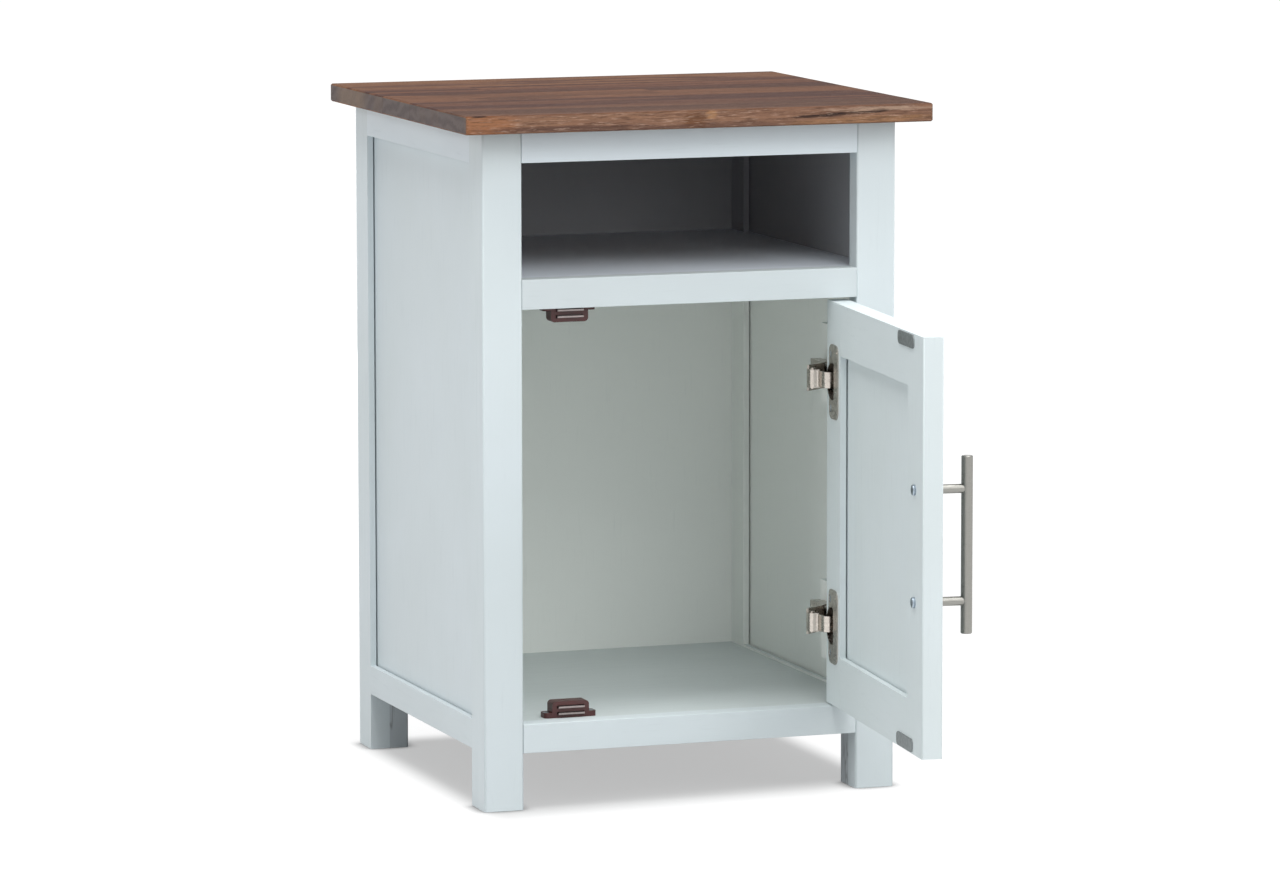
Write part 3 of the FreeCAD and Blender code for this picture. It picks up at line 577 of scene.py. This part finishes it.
# softened arrises on every board
ARRIS_WIDTH = 0.0004
ARRIS_ANGLE = math.radians(35)
WELD_REACH = 0.00001
for name, node in NODES.items():
    if finish_of(name) in PAINTS or name.startswith("top_stave"):
        weld = node.modifiers.new("join_faces", "WELD")
        weld.merge_threshold = WELD_REACH
        bevel = node.modifiers.new("soft_arris", "BEVEL")
        bevel.width = ARRIS_WIDTH
        bevel.segments = 2
        bevel.limit_method = "ANGLE"
        bevel.angle_limit = ARRIS_ANGLE


# ---- floor, lights and camera ----------------------------------------------
LIT = (0, 0, 0.3)
LARGE = (1.6, 1.6)
LOW_AND_WIDE = (1.6, 0.5)
AMBIENT_STRENGTH = 0.3
AMBIENT_TINT = (0.95, 0.99, 1.03, 1)
FLOOR_REACH = 30.0
FLOOR_DROP = 0.0002
# The painted shade fades out between each pair, in metres.
SHADE_SIDE = (0.174, 0.207)
SHADE_FRONT = (-0.09, 0.0)
SHADE_BACK = (0.31, 0.36)
SHADE_SLANT = 0.11
SHADE_STRENGTH = 0.425
# how far the painted contact shadow reaches from the part, in metres
CONTACT_SHADOW_REACH = 0.013
# The floor is a little darker near the part and fully white past the second distance.
WHITENING = (0.6, 1.6)
NEAR_WHITE = 0.9
CAMERA_PLACE = (-1.959854, -5.474856, 1.070393)
CAMERA_ANGLES = (19.39375, 7.4238, -0.0747)
FOCAL_PIXELS = 6663.914
FRAME_WIDTH_PIXELS = 1280


def area_light(name, place, size, power):
    lamp = bpy.data.lights.new(name, "AREA")
    lamp.shape = "RECTANGLE"
    lamp.size, lamp.size_y = size
    lamp.energy = power
    holder = bpy.data.objects.new(name, lamp)
    bpy.context.scene.collection.objects.link(holder)
    holder.location = place
    holder.rotation_euler = (Vector(LIT) - Vector(place)).to_track_quat("-Z", "Y").to_euler()


def ray_kind(finish, kind):
    return finish.node("ShaderNodeLightPath").outputs[kind]


def studio_floor():
    """White all round, with a pale grey shade painted under the part and the lamps' own shadows on it."""
    mesh = bpy.data.meshes.new("studio_floor")
    corners = [(x * FLOOR_REACH, y * FLOOR_REACH, 0) for x, y in ((-1, -1), (1, -1), (1, 1), (-1, 1))]
    mesh.from_pydata(corners, [], [(0, 1, 2, 3)])
    floor = bpy.data.objects.new("studio_floor", mesh)
    bpy.context.scene.collection.objects.link(floor)
    finish = Finish("studio_floor")
    straight = ray_kind(finish, "Is Camera Ray")
    finish.put(finish.surface, "Base_Color", finish.blend(straight, grey(0.5), grey(0.15)))
    finish.surface.inputs["Roughness"].default_value = 1.0
    finish.surface.inputs["Specular IOR Level"].default_value = 0.0
    across, back = finish.axes()[:2]
    beside = finish.span(finish.maths("ABSOLUTE", across), *SHADE_SIDE, 1.0, 0.0, True)
    slanted = finish.maths("SUBTRACT", back, finish.maths("MULTIPLY", across, SHADE_SLANT))
    behind = finish.span(slanted, *SHADE_FRONT, 0.0, 1.0, True)
    before = finish.span(back, *SHADE_BACK, 1.0, 0.0, True)
    shade = finish.maths("MULTIPLY", beside, finish.maths("MULTIPLY", behind, before))
    seen = finish.maths("MAXIMUM", finish.maths("MAXIMUM", straight, ray_kind(finish, "Is Glossy Ray")),
                        ray_kind(finish, "Is Transmission Ray"))
    away = finish.node("ShaderNodeVectorMath", {"operation": "LENGTH"}, i0=finish.place).outputs["Value"]
    glow = finish.span(away, *WHITENING, NEAR_WHITE, 1.0, True)
    glow = finish.maths("SUBTRACT", glow, finish.maths("MULTIPLY", shade, SHADE_STRENGTH))
    # painted contact shadow: the floor's glow darkens where the part stands close above it
    corner = finish.node("ShaderNodeAmbientOcclusion", {"samples": 8}, Distance=CONTACT_SHADOW_REACH).outputs["AO"]
    glow = finish.maths("MULTIPLY", glow, finish.span(corner, 0.35, 0.95, 0.2, 1.0))
    finish.put(finish.surface, "Emission_Color", grey(1.0))
    finish.put(finish.surface, "Emission_Strength", finish.maths("MULTIPLY", seen, glow))
    mesh.materials.append(finish.material)
    floor.location.z = -FLOOR_DROP


def studio_world():
    """Plain light from all round, and white where it is seen straight, in a gloss or through glass."""
    world = bpy.data.worlds.new("studio")
    bpy.context.scene.world = world
    world.use_nodes = True
    tree = world.node_tree
    tree.nodes.clear()
    path = tree.nodes.new("ShaderNodeLightPath")
    seen = path.outputs["Is Camera Ray"]
    for kind in ("Is Glossy Ray", "Is Transmission Ray"):
        either = tree.nodes.new("ShaderNodeMath")
        either.operation = "MAXIMUM"
        tree.links.new(seen, either.inputs[0])
        tree.links.new(path.outputs[kind], either.inputs[1])
        seen = either.outputs[0]
    strength = tree.nodes.new("ShaderNodeMapRange")
    strength.inputs["To Min"].default_value = AMBIENT_STRENGTH
    strength.inputs["To Max"].default_value = 1.0
    tree.links.new(seen, strength.inputs["Value"])
    tint = tree.nodes.new("ShaderNodeMix")
    tint.data_type = "RGBA"
    tint.inputs[6].default_value = AMBIENT_TINT
    tint.inputs[7].default_value = (1, 1, 1, 1)
    tree.links.new(seen, tint.inputs[0])
    back = tree.nodes.new("ShaderNodeBackground")
    tree.links.new(tint.outputs[2], back.inputs["Color"])
    tree.links.new(strength.outputs[0], back.inputs["Strength"])
    out = tree.nodes.new("ShaderNodeOutputWorld")
    tree.links.new(back.outputs[0], out.inputs["Surface"])


def place_camera():
    yaw, pitch, roll = (math.radians(a) for a in CAMERA_ANGLES)
    forward = Vector((math.sin(yaw) * math.cos(pitch), math.cos(yaw) * math.cos(pitch), -math.sin(pitch)))
    right = Vector((math.cos(yaw), -math.sin(yaw), 0))
    up = right.cross(forward)
    side = right * math.cos(roll) + up * math.sin(roll)
    top = up * math.cos(roll) - right * math.sin(roll)
    lens = bpy.data.cameras.new("camera")
    lens.sensor_fit = "HORIZONTAL"
    lens.sensor_width = 36.0
    lens.lens = FOCAL_PIXELS * lens.sensor_width / FRAME_WIDTH_PIXELS
    lens.clip_end = 100.0
    camera = bpy.data.objects.new("camera", lens)
    bpy.context.scene.collection.objects.link(camera)
    turn = Matrix((side, top, -forward)).transposed().to_4x4()
    camera.matrix_world = Matrix.Translation(Vector(CAMERA_PLACE)) @ turn
    bpy.context.scene.camera = camera


studio_floor()
studio_world()
area_light("front_softbox", (0.05, -2.404, 2.704), LARGE, 37.0)
area_light("front_low_softbox", (0.25, -3.185, 1.463), LARGE, 15.0)
area_light("left_low_softbox", (-3.086, -0.827, 1.463), LARGE, 24.0)
area_light("left_high_softbox", (-1.123, -0.301, 3.495), LARGE, 54.0)
area_light("right_low_softbox", (2.617, -1.833, 1.463), LARGE, 24.5)
area_light("right_high_softbox", (0.953, -0.667, 3.495), LARGE, 45.0)
area_light("rear_softbox", (0.3, 3.4, 0.33), LOW_AND_WIDE, 16.0)
place_camera()
bpy.context.scene.view_settings.view_transform = "Standard"
